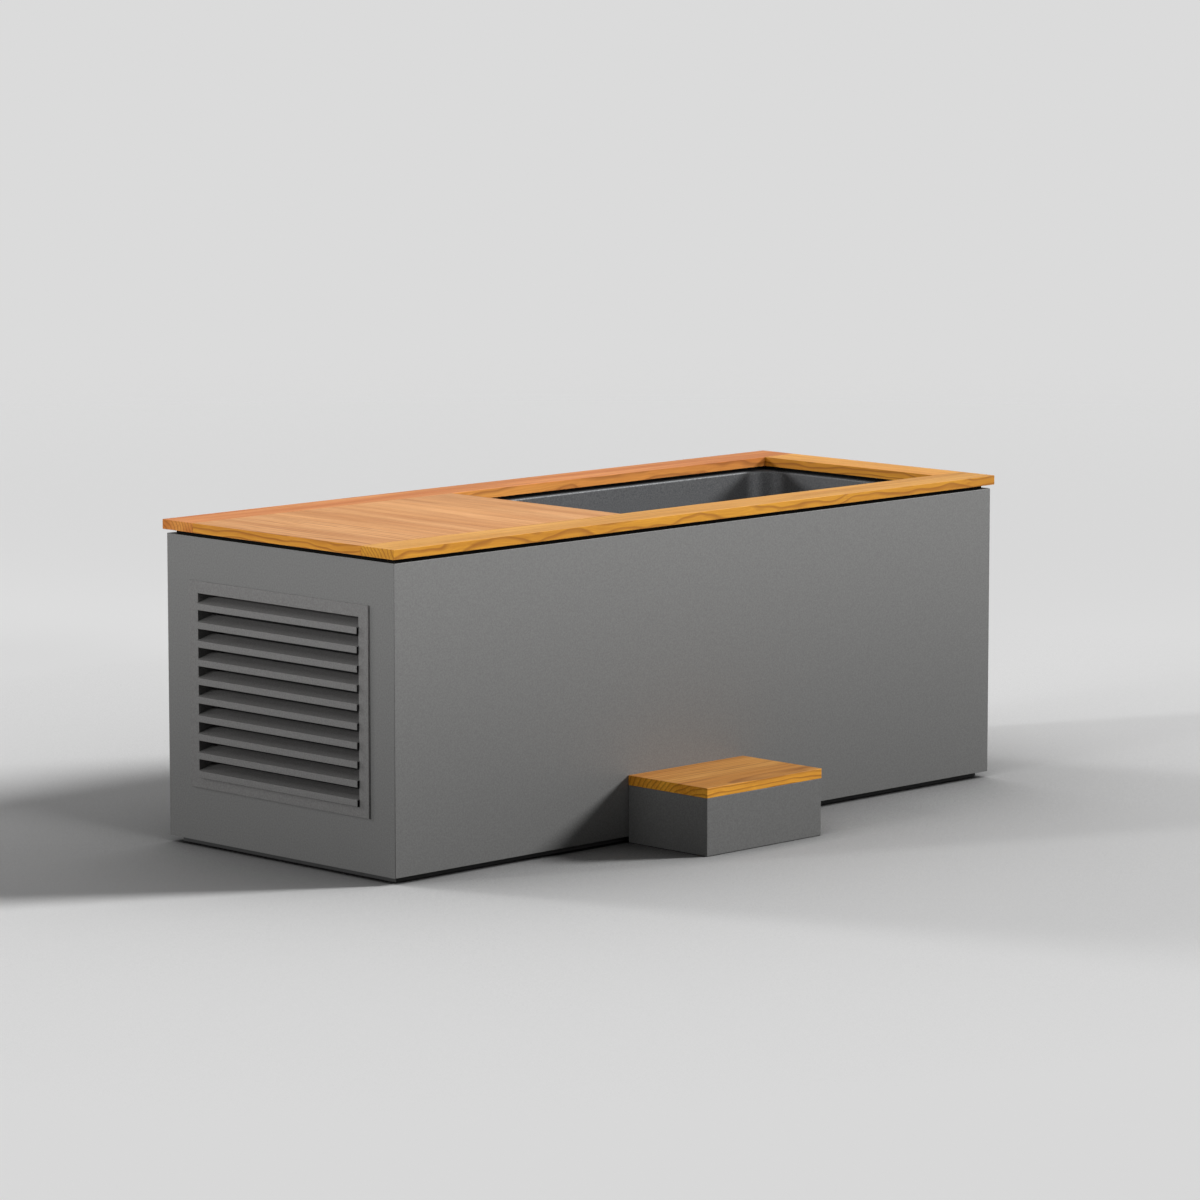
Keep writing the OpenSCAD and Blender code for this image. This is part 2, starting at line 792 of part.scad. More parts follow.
module fan_shroud() {
    y0 = chiller_y + case_t + touch;
    y1 = case_side_y - case_t - touch;
    z0 = chiller_z + tray_h + touch;
    z1 = chiller_z + chiller_h - case_t - touch;
    ring_r = fan_r + fan_gap;
    strut_w = 16;
    color("#242628") difference() {
        union() {
            span([shroud_x, y0, z0], [shroud_x + shroud_t, y1, z1]);
            fan_disc(shroud_x, ring_depth, ring_r + shroud_t);
        }
        fan_disc(shroud_x - cut, ring_depth + 2 * cut, ring_r);
        rod([shroud_x - cut, hot_line_y, hot_z], [shroud_x + shroud_t + cut, hot_line_y, hot_z],
            line_r + touch);
    }
    color("#242628") difference() {
        intersection() {
            fan_disc(shroud_x, ring_depth, ring_r + cut);
            union() for (a = [45, 135]) translate([motor_x, fan_axis_y, fan_axis_z]) rotate([a, 0, 0])
                translate([0, -strut_w / 2, -ring_r * 1.1]) cube([strut_t, strut_w, ring_r * 2.2]);
        }
        fan_disc(motor_x - cut, strut_t + 2 * cut, shaft_r + touch);
    }
}

// A disc on the fan's axis
module fan_disc(x, h, r) {
    translate([x, fan_axis_y, fan_axis_z]) rotate([0, 90, 0]) cylinder(h = h, r = r);
}

// A hub with pitched blades, trimmed to the fan's radius and to the hub's length
module fan_rotor() {
    blade_w = 62;
    blade_t = 2;
    blade_root = 6;
    pitch_angle = 32;
    color("#1d1f20") translate([fan_x, fan_axis_y, fan_axis_z]) rotate([0, 90, 0]) difference() {
        union() {
            cylinder(h = hub_l, r = hub_r);
            for (i = [0 : fan_blades - 1]) rotate(i * 360 / fan_blades) intersection() {
                translate([hub_r - blade_root, 0, hub_l / 2]) rotate([pitch_angle, 0, 0])
                    translate([0, -blade_w / 2, -blade_t / 2]) cube([fan_r, blade_w, blade_t]);
                cylinder(h = hub_l, r = fan_r);
            }
        }
        translate([0, 0, hub_floor]) cylinder(h = hub_l, r = shaft_r + shaft_gap);
    }
}

module fan_motor() {
    cap_h = 8;
    color("#4b4f52") translate([motor_x + strut_t, fan_axis_y, fan_axis_z]) rotate([0, 90, 0]) {
        cylinder(h = motor_l, r = motor_r);
        translate([0, 0, motor_l]) cylinder(h = cap_h, r1 = motor_r, r2 = motor_r - cap_h);
        translate([0, 0, -shaft_l]) cylinder(h = shaft_l, r = shaft_r);
    }
}

// A hermetic compressor: a shell welded at its middle, on a foot plate with four rubber feet
module compressor() {
    foot_h = 14;
    foot_r = 9;
    plate_t = 4;
    plate_r = compressor_r + 14;
    seam_r = compressor_r + 3;
    seam_h = 6;
    base = foot_h + plate_t;
    seam_z = base + compressor_h * 0.6;
    shell_top = base + compressor_h;
    z0 = chiller_z + case_t;
    dome = [for (t = [0 : 15 : 90]) [compressor_r * cos(t), shell_top + compressor_r * 0.6 * sin(t)]];
    color("#141414") translate([compressor_x, compressor_y, z0]) {
        rotate_extrude() polygon(concat([[0, foot_h], [plate_r, foot_h], [plate_r, base],
            [compressor_r, base], [compressor_r, seam_z], [seam_r, seam_z], [seam_r, seam_z + seam_h],
            [compressor_r, seam_z + seam_h]], dome));
        for (a = [45 : 90 : 315]) rotate(a) {
            translate([plate_r - foot_r - 2, 0, 0]) cylinder(h = foot_h, r = foot_r);
        }
        for (s = [hot_stub, cold_stub]) {
            translate([s[0], s[1], seam_z]) cylinder(h = line_z - z0 - seam_z, r = line_r + 2);
        }
    }
}

// An insulated heat exchanger with two water stubs and one for the refrigerant
module evaporator_barrel() {
    stub = case_side_y - barrel_y + stub_l;
    cold_x = compressor_x + cold_stub[0] - barrel_x;
    cap_h = 24;
    cap_over = 5;
    color("#e8e8e4") translate([barrel_x, barrel_y, barrel_z]) {
        translate([0, 0, case_t - tray_h]) cylinder(h = barrel_h + tray_h, r = barrel_r);
        translate([0, 0, barrel_h + 4 - cap_h]) cylinder(h = cap_h, r = barrel_r + cap_over);
        for (z = [port_z, return_z]) {
            translate([0, 0, z - barrel_z]) rotate([-90, 0, 0]) cylinder(h = stub, r = pipe_r);
        }
        translate([cold_x, 0, cold_z - barrel_z]) rotate([90, 0, 0])
            cylinder(h = barrel_r + stub_l, r = line_r + 2);
    }
}

module refrigerant_lines() {
    hot_x = compressor_x + hot_stub[0];
    hot_y = compressor_y + hot_stub[1];
    cold_x = compressor_x + cold_stub[0];
    cold_y = compressor_y + cold_stub[1];
    hot = [[hot_x, hot_y, line_z], [hot_x, hot_y, hot_z], [hot_x, hot_line_y, hot_z],
        [coil_x + coil_t + header_over, hot_line_y, hot_z]];
    cold = [[cold_x, cold_y, line_z], [cold_x, cold_y, cold_z],
        [cold_x, barrel_y - barrel_r - stub_l, cold_z]];
    color("#b87333") {
        pipe_bend(hot, line_r);
        pipe_bend(cold, line_r);
    }
}

// Soft copper tube, round at each turn
module pipe_bend(points, r) {
    for (i = [0 : len(points) - 2]) rod(points[i], points[i + 1], r);
    for (i = [1 : len(points) - 2]) translate(points[i]) sphere(r = r + 0.2);
}

// A shallow box on the bulkhead with a lid a little smaller than it
module control_box() {
    size = [44, 200, 160];
    lid_h = 3;
    lid_in = 6;
    low = [bulk_x - size[0], chiller_y, post_top - 264];
    color("#d9dbdc") {
        span(low, low + size);
        span(low + [-lid_h, lid_in, lid_in], low + [0, size[1] - lid_in, size[2] - lid_in]);
    }
}

// Rubber feet under the chiller and the pump, and a pad under the filter
module rubber_mounts() {
    inset = 40;
    big_r = 16;
    small_r = 12;
    pad_r = 0.6 * filter_r;
    color("#101010") translate([0, 0, base_t]) {
        for (x = [chiller_x + inset, chiller_x + chiller_l - inset]) {
            for (y = [chiller_y + inset, case_side_y - inset]) {
                translate([x, y, 0]) cylinder(h = mount_h, r = big_r);
            }
        }
        for (x = [pump_x - foot_x0 + 20, pump_x - foot_x1 - 20]) {
            for (y = [suction_y - foot_y + 16, suction_y + foot_y - 16]) {
                translate([x, y, 0]) cylinder(h = mount_h, r = small_r);
            }
        }
        translate([filter_x, filter_y, 0]) cylinder(h = mount_h, r = pad_r);
    }
}

// Water circuit

// A motor with cooling ribs, the volute in front of it, and a foot with two webs
module circulation_pump() {
    foot_z = base_t + mount_h;
    foot_t = 8;
    web_t = 6;
    web_y = 0.7 * pump_r;
    stub_r = pipe_r + socket_t;
    rib_n = 12;
    rib = [8, 3, 120];
    rib_sink = 2;
    color("#22272b") translate([pump_x, suction_y, 0]) {
        translate([0, 0, pump_z]) rotate([0, 90, 0]) {
            cylinder(h = volute_l, r = volute_r);
            translate([0, 0, -pump_l]) cylinder(h = pump_l, r = pump_r);
            translate([0, 0, volute_l]) cylinder(h = pump_stub, r = stub_r);
            for (i = [0 : rib_n - 1]) rotate((i + 0.5) * 360 / rib_n) {
                translate([pump_r - rib_sink, -rib[1] / 2, 20 - pump_l]) cube(rib);
            }
        }
        translate([volute_l / 2, 0, pump_z]) cylinder(h = volute_r + pump_rise, r = stub_r);
        span([-foot_x0, -foot_y, foot_z], [-foot_x1, foot_y, foot_z + foot_t]);
        for (x = [10 - foot_x0, -foot_x1 - web_t - 10]) {
            span([x, -web_y, foot_z + foot_t], [x + web_t, web_y, pump_z - web_y]);
        }
    }
}

// An open canister with a rim for its lid and a port to each side
module filter_canister() {
    rim_h = 14;
    rim_over = 7;
    color("#1f2a33") translate([filter_x, filter_y, 0]) difference() {
        union() {
            translate([0, 0, filter_z]) cylinder(h = filter_h, r = filter_r);
            translate([0, 0, filter_z + filter_h - rim_h]) cylinder(h = rim_h, r = filter_r + rim_over);
            for (turn = [[0, 90, 0], [90, 0, 0]]) {
                translate([0, 0, port_z]) rotate(turn) cylinder(h = port_l, r = pipe_r + socket_t);
            }
        }
        translate([0, 0, filter_z + canister_floor]) cylinder(h = filter_h, r = filter_r - canister_t);
    }
}

// Pleated media between two end caps, round a hollow core
module filter_cartridge() {
    pleat_d = 12;
    cap_h = 8;
    cap_over = 2;
    core_r = cartridge_r / 3;
    pleats = [for (i = [0 : 2 * pleat_n - 1])
        let (r = i % 2 == 0 ? cartridge_r : cartridge_r - pleat_d, a = i * 180 / pleat_n)
        [r * cos(a), r * sin(a)]];
    color("#eef0ee") translate([filter_x, filter_y, cartridge_z]) {
        translate([0, 0, cap_h]) linear_extrude(cartridge_h - 2 * cap_h) difference() {
            polygon(pleats);
            circle(r = core_r);
        }
        for (z = [0, cartridge_h - cap_h]) translate([0, 0, z]) difference() {
            cylinder(h = cap_h, r = cartridge_r + cap_over);
            translate([0, 0, -cut]) cylinder(h = cap_h + 2 * cut, r = core_r);
        }
    }
}

// A screw-on lid with grips round its edge and a stem that holds the cartridge down
module filter_lid() {
    z0 = filter_z + filter_h + touch;
    stem = z0 - cartridge_z - cartridge_h - touch;
    stem_r = 16;
    dome_h = 10;
    grip_r = 7;
    color("#14181b") translate([filter_x, filter_y, z0]) {
        cylinder(h = lid_t, r = filter_r + lid_over);
        translate([0, 0, lid_t]) cylinder(h = dome_h, r1 = filter_r - 6, r2 = filter_r - 14);
        translate([0, 0, -stem]) cylinder(h = stem + cut, r = stem_r);
        for (a = [0 : 45 : 315]) rotate(a) {
            translate([filter_r + lid_over - 2, 0, 0]) cylinder(h = lid_t, r = grip_r);
        }
    }
}

// A steel tube with a clamped cap at each end
module uv_chamber() {
    cap_h = 14;
    cap_over = 5;
    color("#c8cbcd") translate([uv_x1 - uv_l, return_y, return_z]) rotate([0, 90, 0]) {
        cylinder(h = uv_l, r = uv_r);
        for (z = [0, uv_l - cap_h]) translate([0, 0, z]) cylinder(h = cap_h, r = uv_r + cap_over);
    }
}

module suction_pipe() {
    x0 = pump_x + volute_l + pump_stub;
    x1 = tub_x - core_l / 2 - reach(suction_z) - tail_out + socket_in;
    color("#e6e6e2") pipe_run([[x0, suction_y, pump_z], [suction_turn_x, suction_y, pump_z],
        [suction_turn_x, suction_y, suction_z], [x1, suction_y, suction_z]], pipe_r);
}

module pump_pipe() {
    x0 = pump_x + volute_l / 2;
    z0 = pump_z + volute_r + pump_rise;
    color("#e6e6e2") pipe_run([[x0, suction_y, z0], [x0, suction_y, port_z],
        [pump_turn_x, suction_y, port_z], [pump_turn_x, filter_y, port_z],
        [filter_x + port_l, filter_y, port_z]], pipe_r);
}

module filter_pipe() {
    y0 = filter_y - port_l;
    color("#e6e6e2") pipe_run([[filter_x, y0, port_z], [filter_x, return_y, port_z],
        [barrel_x, return_y, port_z], [barrel_x, case_side_y + stub_l, port_z]], pipe_r);
}

module return_pipe() {
    x1 = uv_x1 - uv_l;
    x2 = tub_x - core_l / 2 - reach(return_z) - tail_out + socket_in;
    color("#e6e6e2") {
        pipe_run([[barrel_x, case_side_y + stub_l, return_z], [barrel_x, return_y, return_z],
            [x1, return_y, return_z]], pipe_r);
        rod([uv_x1, return_y, return_z], [x2, return_y, return_z], pipe_r);
    }
}

module drain_pipe() {
    color("#e6e6e2") pipe_run([[drain_x, 0, basin_z - shell_t - drain_tail], [drain_x, 0, drain_z],
        [outlet_x, 0, drain_z], [outlet_x, body_w / 2 - outlet_l, drain_z]], pipe_r);
}

// A ball valve's body, along +Z, with its spindle towards +X
module valve_body() {
    shoulder = 8;
    difference() {
        union() {
            cylinder(h = valve_l, r = pipe_r + 5);
            translate([0, 0, shoulder]) cylinder(h = valve_l - 2 * shoulder, r = pipe_r + 9);
            translate([0, 0, valve_l / 2]) rotate([0, 90, 0]) {
                cylinder(h = pipe_r + bonnet_h, r = bonnet_r);
                cylinder(h = pipe_r + bonnet_h + spindle_h, r = spindle_r);
            }
        }
        translate([0, 0, -cut]) cylinder(h = valve_l + 2 * cut, r = pipe_r);
    }
}

// The lever on a valve's spindle
module valve_lever() {
    eye_r = 11;
    translate([pipe_r + bonnet_h + touch, 0, valve_l / 2]) difference() {
        union() {
            rotate([0, 90, 0]) cylinder(h = lever_t, r = eye_r);
            span([0, -bonnet_r, -lever_l], [lever_t, bonnet_r, 0]);
        }
        rotate([0, 90, 0]) translate([0, 0, -cut])
            cylinder(h = lever_t + 2 * cut, r = spindle_r + shaft_gap);
    }
}

module at_suction_valve() {
    translate([bulk_x - valve_l - 8, suction_y, suction_z]) rotate([0, 90, 0]) rotate(90) children();
}

module at_return_valve() {
    translate([bulk_x - valve_l - 12, return_y, return_z]) rotate([0, 90, 0]) rotate(90) children();
}

module at_drain_valve() {
    translate([outlet_x, drain_valve_y, drain_z]) rotate([-90, 0, 0]) rotate(-90) children();
}

module suction_valve() {
    color("#e6e6e2") at_suction_valve() valve_body();
}

module return_valve() {
    color("#e6e6e2") at_return_valve() valve_body();
}

// The drain's valve, with the brass outlet that passes through the rear cladding
module drain_valve() {
    nut_over = 8;
    bore_start = 10;
    color("#e6e6e2") at_drain_valve() valve_body();
    color("#b58b3a") translate([outlet_x, body_w / 2, drain_z]) rotate([-90, 0, 0]) difference() {
        union() {
            translate([0, 0, -outlet_l]) cylinder(h = outlet_l - panel_t, r = pipe_r + socket_t);
            translate([0, 0, -outlet_l / 2])
                cylinder(h = outlet_l / 2 + drain_thread_l, r = drain_thread_r);
            cylinder(h = outlet_nut_t, r = drain_thread_r + nut_over, $fn = 6);
        }
        translate([0, 0, bore_start - outlet_l]) cylinder(h = outlet_l + drain_thread_l, r = drain_bore_r);
    }
}

module suction_lever() {
    color("#b03a2e") at_suction_valve() valve_lever();
}

module return_lever() {
    color("#b03a2e") at_return_valve() valve_lever();
}

module drain_lever() {
    color("#b03a2e") at_drain_valve() valve_lever();
}

// A gland with a lock nut inside the cladding, a body and a tapered cap outside it
module cable_gland() {
    cap_h = 12;
    inside = panel_t + lock_nut_t;
    whole = inside + lock_nut_t + cap_h;
    color("#1a1a1a") translate([gland_x, body_w / 2, drain_z]) rotate([-90, 0, 0]) difference() {
        union() {
            translate([0, 0, -inside]) cylinder(h = lock_nut_t, r = gland_r + 5, $fn = 6);
            translate([0, 0, -inside]) cylinder(h = inside + cut, r = gland_r - 0.2);
            cylinder(h = lock_nut_t, r = gland_r + 6, $fn = 6);
            translate([0, 0, lock_nut_t]) cylinder(h = cap_h, r1 = gland_r + 3, r2 = gland_r);
        }
        translate([0, 0, -inside - cut]) cylinder(h = whole + 2 * cut, r = cable_r);
    }
}

// Step

module step_box() {
    color("#6a6a6a") difference() {
        span([step_x0 + tread_lip, step_y0 + tread_lip, box_z], [step_x1 - tread_lip, step_y1, box_top]);
        span([step_x0 + tread_lip + step_t, step_y0 + tread_lip + step_t, box_z - cut],
            [step_x1 - tread_lip - step_t, step_y1 - step_t, box_top - step_t]);
    }
}

module step_tread() {
    color("#b9834a") span([step_x0, step_y0, box_top], [step_x1, step_y1, step_h]);
}

// Two battens screwed up through the box's top into the tread
module step_battens() {
    w = 40;
    h = 20;
    inset = 60;
    z1 = box_top - step_t;
    color("#a97a4c") for (x = [step_x0 + inset, step_x1 - inset - w]) {
        span([x, step_y0 + w, z1 - h], [x + w, step_y1 - w, z1]);
    }
}

module step_glides() {
    s = 26;
    ix = tread_lip + step_t;
    color("#141414") for (x = [step_x0 + ix, step_x1 - ix - s]) {
        for (y = [step_y0 + ix, step_y1 - step_t - s]) span([x, y, 0], [x + s, y + s, glide_h]);
    }
}

base_board();
steel_frame();
bulkhead();
front_cladding();
rear_cladding();
grille_end_cladding();
tub_end_cladding();
spacer_front();
spacer_rear();
spacer_tub_end();
spacer_grille_end();
front_rail();
rear_rail();
end_board();
bay_deck();
deck_battens();
tub_shell();
foam_jacket();
rim_seal();
suction_fitting();
suction_strainer();
return_fitting();
return_nozzle();
drain_fitting();
drain_grid();
grille_frame();
grille_blades();
dust_screen();
chiller_tray();
chiller_case();
condenser_coil();
fan_shroud();
fan_rotor();
fan_motor();
compressor();
evaporator_barrel();
refrigerant_lines();
control_box();
rubber_mounts();
circulation_pump();
filter_canister();
filter_cartridge();
filter_lid();
uv_chamber();
suction_pipe();
pump_pipe();
filter_pipe();
return_pipe();
drain_pipe();
suction_valve();
return_valve();
drain_valve();
suction_lever();
return_lever();
drain_lever();
cable_gland();
step_box();
step_tread();
step_battens();
step_glides();
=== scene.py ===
# Cold plunge tub: a clad cabinet with a timber top, a steel basin, a louvred plant bay and a loose step

import json
import math

import bmesh
import bpy
from mathutils import Matrix, Vector


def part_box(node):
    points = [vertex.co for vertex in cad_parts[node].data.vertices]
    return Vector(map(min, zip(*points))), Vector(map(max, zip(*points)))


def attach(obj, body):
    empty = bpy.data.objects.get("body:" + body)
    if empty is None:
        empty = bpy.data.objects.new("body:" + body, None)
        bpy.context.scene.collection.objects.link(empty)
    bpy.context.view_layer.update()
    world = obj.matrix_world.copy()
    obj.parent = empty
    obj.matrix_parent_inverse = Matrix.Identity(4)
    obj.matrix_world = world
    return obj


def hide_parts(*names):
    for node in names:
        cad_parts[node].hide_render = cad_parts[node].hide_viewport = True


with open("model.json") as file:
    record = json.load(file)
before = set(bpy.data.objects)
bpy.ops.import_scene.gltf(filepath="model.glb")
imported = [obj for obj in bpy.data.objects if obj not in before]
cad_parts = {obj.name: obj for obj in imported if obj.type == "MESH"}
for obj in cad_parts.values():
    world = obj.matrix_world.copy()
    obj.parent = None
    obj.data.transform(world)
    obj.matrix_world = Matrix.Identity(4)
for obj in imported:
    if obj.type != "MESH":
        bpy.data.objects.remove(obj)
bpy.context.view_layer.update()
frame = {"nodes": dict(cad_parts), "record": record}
nodes = frame["nodes"]
scene = bpy.context.scene
mm = 0.001

# Camera: a long lens at the photograph's place, a little above the timber top

lens = bpy.data.cameras.new("camera")
lens.lens = 161.785
lens.clip_end = 300
camera = bpy.data.objects.new("camera", lens)
camera.location = (-9.8277, -9.8613, 2.4935)
camera.rotation_euler = (math.radians(82.053), 0, math.radians(-44.983))
scene.collection.objects.link(camera)
scene.camera = camera
scene.view_settings.view_transform = "Standard"


# Helpers for materials


def linear(code):
    """An sRGB hex code as linear red, green, blue and alpha."""
    parts = [int(code[i : i + 2], 16) / 255 for i in (1, 3, 5)]
    return (*[c / 12.92 if c <= 0.04045 else ((c + 0.055) / 1.055) ** 2.4 for c in parts], 1)


def grey(level):
    """A linear grey."""
    return (level, level, level, 1)


def add(tree, kind, values=None):
    """Adds a node with its attributes, colour stops and sockets.

    A socket given as a value is linked, and a node given as a value lends its first output.
    """
    node = tree.nodes.new(kind)
    for key, value in (values or {}).items():
        if isinstance(value, bpy.types.Node):
            value = value.outputs[0]
        if key == "stops":
            ramp = node.color_ramp.elements
            for i, (position, colour) in enumerate(value):
                stop = ramp[i] if i < 2 else ramp.new(position)
                stop.position = position
                stop.color = colour
        elif isinstance(key, str) and hasattr(node, key):
            setattr(node, key, value)
        elif isinstance(value, bpy.types.NodeSocket):
            tree.links.new(value, node.inputs[key])
        else:
            node.inputs[key].default_value = value
    return node


def blank(name, **settings):
    """A new material, its tree, its shader with some sockets set, and its coordinates."""
    material = bpy.data.materials.new(name)
    material.use_nodes = True
    tree = material.node_tree
    surface = tree.nodes["Principled BSDF"]
    for key, value in settings.items():
        surface.inputs[key.replace("_", " ")].default_value = value
    return material, tree, surface, add(tree, "ShaderNodeTexCoord").outputs


def dress(tree, surface, colour, rough, relief):
    """Links a mix as a shader's colour and a range as its roughness, and gives it a relief."""
    bump = add(tree, "ShaderNodeBump", relief)
    tree.links.new(colour.outputs[2], surface.inputs["Base Color"])
    tree.links.new(rough.outputs[0], surface.inputs["Roughness"])
    tree.links.new(bump.outputs[0], surface.inputs["Normal"])


def grained(name, base, other, size, roughness, swing, depth, stretch=(1, 1, 1), detail=3, **settings):
    """A surface whose colour, roughness and height vary with one grain of a size in metres."""
    material, tree, surface, place = blank(name, **settings)
    per_metre = [share / size for share in stretch]
    spread = add(tree, "ShaderNodeMapping", {"Vector": place["Object"], "Scale": per_metre})
    waves = {"Vector": spread, "Scale": 1.0, "Detail": detail, "Roughness": 0.6}
    grain = add(tree, "ShaderNodeTexNoise", waves).outputs["Fac"]
    tint = add(tree, "ShaderNodeMapRange", {"Value": grain, "From Min": 0.32, "From Max": 0.68})
    tones = {"data_type": "RGBA", 0: tint, 6: linear(base), 7: linear(other)}
    colour = add(tree, "ShaderNodeMix", tones)
    sheen = {"From Min": 0.3, "From Max": 0.7, "To Min": roughness - swing, "To Max": roughness + swing}
    rough = add(tree, "ShaderNodeMapRange", {"Value": grain, **sheen})
    dress(tree, surface, colour, rough, {"Height": grain, "Strength": 1.0, "Distance": depth})
    return material


# Hardwood boards, sawn, sanded and oiled: warm with a low sheen. Each has its own heart centre, so
# the rings run as streaks on its top, wavy lines on its edges and slanting lines on its ends

ring_line, fibre_line = linear("#7A3C0C"), linear("#9C5A1A")
ring_tones = [(0.0, grey(0.1)), (0.98, grey(0)), (0.5, grey(0.16)), (0.84, grey(1))]
wave_length = math.pi / 10  # of a wave texture at Scale 1, in metres
# How strongly the rings show on a face and on an edge, and the fibres everywhere
face_share, edge_share, fibre_share = 0.7, 0.62, 0.34
stave_jump = (3.0, 0.08, 0.05)  # the farthest that a stave is from the next in the tree, in metres


def staved(tree, board, width):
    """A board's coordinates cut into glued staves, each from another part of the tree, and their tone."""
    parts = add(tree, "ShaderNodeSeparateXYZ", {0: board})
    count = add(tree, "ShaderNodeMath", {"operation": "DIVIDE", 0: parts.outputs["Y"], 1: width})
    index = add(tree, "ShaderNodeMath", {"operation": "FLOOR", 0: count})
    chance = add(tree, "ShaderNodeTexWhiteNoise", {"noise_dimensions": "1D", "W": index})
    far = {"operation": "MULTIPLY", 0: chance.outputs["Color"], 1: stave_jump}
    jump = add(tree, "ShaderNodeVectorMath", far)
    moved = add(tree, "ShaderNodeVectorMath", {"operation": "ADD", 0: board, 1: jump})
    return moved, chance.outputs["Value"]


def wander(tree, board, per_metre, detail, roughness, reach):
    """A drift across the grain, as far as a reach in metres, in so many waves per metre."""
    spread = add(tree, "ShaderNodeMapping", {"Vector": board, "Scale": per_metre})
    waves = {"Vector": spread, "Scale": 1.0, "Detail": detail, "Roughness": roughness}
    drift = add(tree, "ShaderNodeTexNoise", waves).outputs["Color"]
    centred = add(tree, "ShaderNodeVectorMath", {"operation": "SUBTRACT", 0: drift, 1: (0.5, 0.5, 0.5)})
    across = {"operation": "MULTIPLY", 0: centred, 1: (0.0, reach, reach)}
    return add(tree, "ShaderNodeVectorMath", across)


def oiled_timber(
    name, grain, heart, start, pale, deep, top="#FFFFFF", side="#D7CB70", ring=12 * mm, stave=0.0
):
    """Timber with its grain along X or Y and the tree's heart at two places across the grain, in metres."""
    material, tree, surface, place = blank(name, IOR=1.48, Specular_IOR_Level=0.22)
    turn = -math.pi / 2 if grain == "Y" else 0
    laid = {"Location": (start, -heart[0], -heart[1]), "Rotation": (0, 0, turn)}
    board, tone = add(tree, "ShaderNodeMapping", {"Vector": place["Object"], **laid}), None
    if stave:
        board, tone = staved(tree, board, stave)

    # How upright a face is: edges and ends cut the rings through, so their lines stand out more
    facing = add(tree, "ShaderNodeSeparateXYZ", {0: place["Normal"]})
    level = add(tree, "ShaderNodeMath", {"operation": "ABSOLUTE", 0: facing.outputs["Z"]})
    upright = add(tree, "ShaderNodeMapRange", {"Value": level, "To Min": edge_share, "To Max": 0.0})

    # The trunk's sway in waves of 400 mm, and on edges and ends also waves of 110 mm
    sway = wander(tree, board, (2.5, 7, 7), 3, 0.42, 45 * mm)
    curl = wander(tree, board, (9, 16, 16), 1, 0.4, 34 * mm)
    held = add(tree, "ShaderNodeVectorMath", {"operation": "SCALE", 0: curl, "Scale": upright})
    swayed = add(tree, "ShaderNodeVectorMath", {"operation": "ADD", 0: board, 1: sway})
    bent = add(tree, "ShaderNodeVectorMath", {"operation": "ADD", 0: swayed, 1: held})

    # Patches along the rings, fibres about 5 mm wide and 250 mm long, and broad bands
    fields = []
    for base, per_metre, detail, roughness in (
        (bent, (2.6, 30, 30), 2, 0.5),
        (bent, (4, 200, 200), 5, 0.62),
        (board, (0.9, 22, 22), 3, 0.5),
    ):
        spread = add(tree, "ShaderNodeMapping", {"Vector": base, "Scale": per_metre})
        waves = {"Vector": spread, "Scale": 1.0, "Detail": detail, "Roughness": roughness}
        fields.append(add(tree, "ShaderNodeTexNoise", waves).outputs["Fac"])
    patch, fibre, band = fields

    # Yearly rings: pale and soft in spring, dark and sharp in autumn, patchy along a face
    shape = {"wave_type": "RINGS", "rings_direction": "X", "wave_profile": "SAW"}
    rings = add(tree, "ShaderNodeTexWave", {**shape, "Scale": wave_length / ring, "Vector": bent})
    late = add(tree, "ShaderNodeValToRGB", {"stops": ring_tones, "Fac": rings.outputs["Fac"]})
    thinned = {"Value": patch, "From Min": 0.36, "From Max": 0.64, "To Min": 0.25, "To Max": 1.0}
    share = add(tree, "ShaderNodeMapRange", thinned)
    figure = add(tree, "ShaderNodeMath", {"operation": "MULTIPLY", 0: late, 1: share})
    along_face = add(tree, "ShaderNodeMath", {"operation": "MULTIPLY", 0: figure, 1: face_share})
    cut = add(tree, "ShaderNodeMath", {"operation": "MULTIPLY", 0: late, 1: upright})
    ringed = add(tree, "ShaderNodeMath", {"operation": "MAXIMUM", 0: along_face, 1: cut})
    streak = add(tree, "ShaderNodeMapRange", {"Value": fibre, "From Min": 0.36, "From Max": 0.66})
    streaked = add(tree, "ShaderNodeMath", {"operation": "MULTIPLY", 0: streak, 1: fibre_share})

    # Warm and pale bands, with the rings and then the fibres drawn over them
    tones = [(0.36, linear(pale)), (0.66, linear(deep))]
    ground = add(tree, "ShaderNodeValToRGB", {"stops": tones, "Fac": band})
    lined = add(tree, "ShaderNodeMix", {"data_type": "RGBA", 0: ringed, 6: ground, 7: ring_line})
    drawn = {"data_type": "RGBA", 0: streaked, 6: lined.outputs[2], 7: fibre_line}
    colour = add(tree, "ShaderNodeMix", drawn).outputs[2]
    if tone:
        part = add(tree, "ShaderNodeMapRange", {"Value": tone, "To Min": 0.92, "To Max": 1.06})
        colour = add(tree, "ShaderNodeVectorMath", {"operation": "SCALE", 0: colour, "Scale": part})

    # Upright faces, the edges and ends, get the side tint, and the top gets the top tint
    face_tint = add(tree, "ShaderNodeMix", {"data_type": "RGBA", 0: level, 6: linear(side), 7: linear(top)})
    face_tinted = {"data_type": "RGBA", "blend_type": "MULTIPLY", 0: 1.0, 6: colour, 7: face_tint.outputs[2]}
    oiled = add(tree, "ShaderNodeMix", face_tinted)
    rough = add(tree, "ShaderNodeMapRange", {"Value": streak, "To Min": 0.56, "To Max": 0.68})
    height = add(tree, "ShaderNodeMath", {"operation": "ADD", 0: streaked, 1: ringed})
    relief = {"Height": height, "Strength": 0.6, "Distance": 0.25 * mm, "invert": True}
    dress(tree, surface, oiled, rough, relief)
    return material


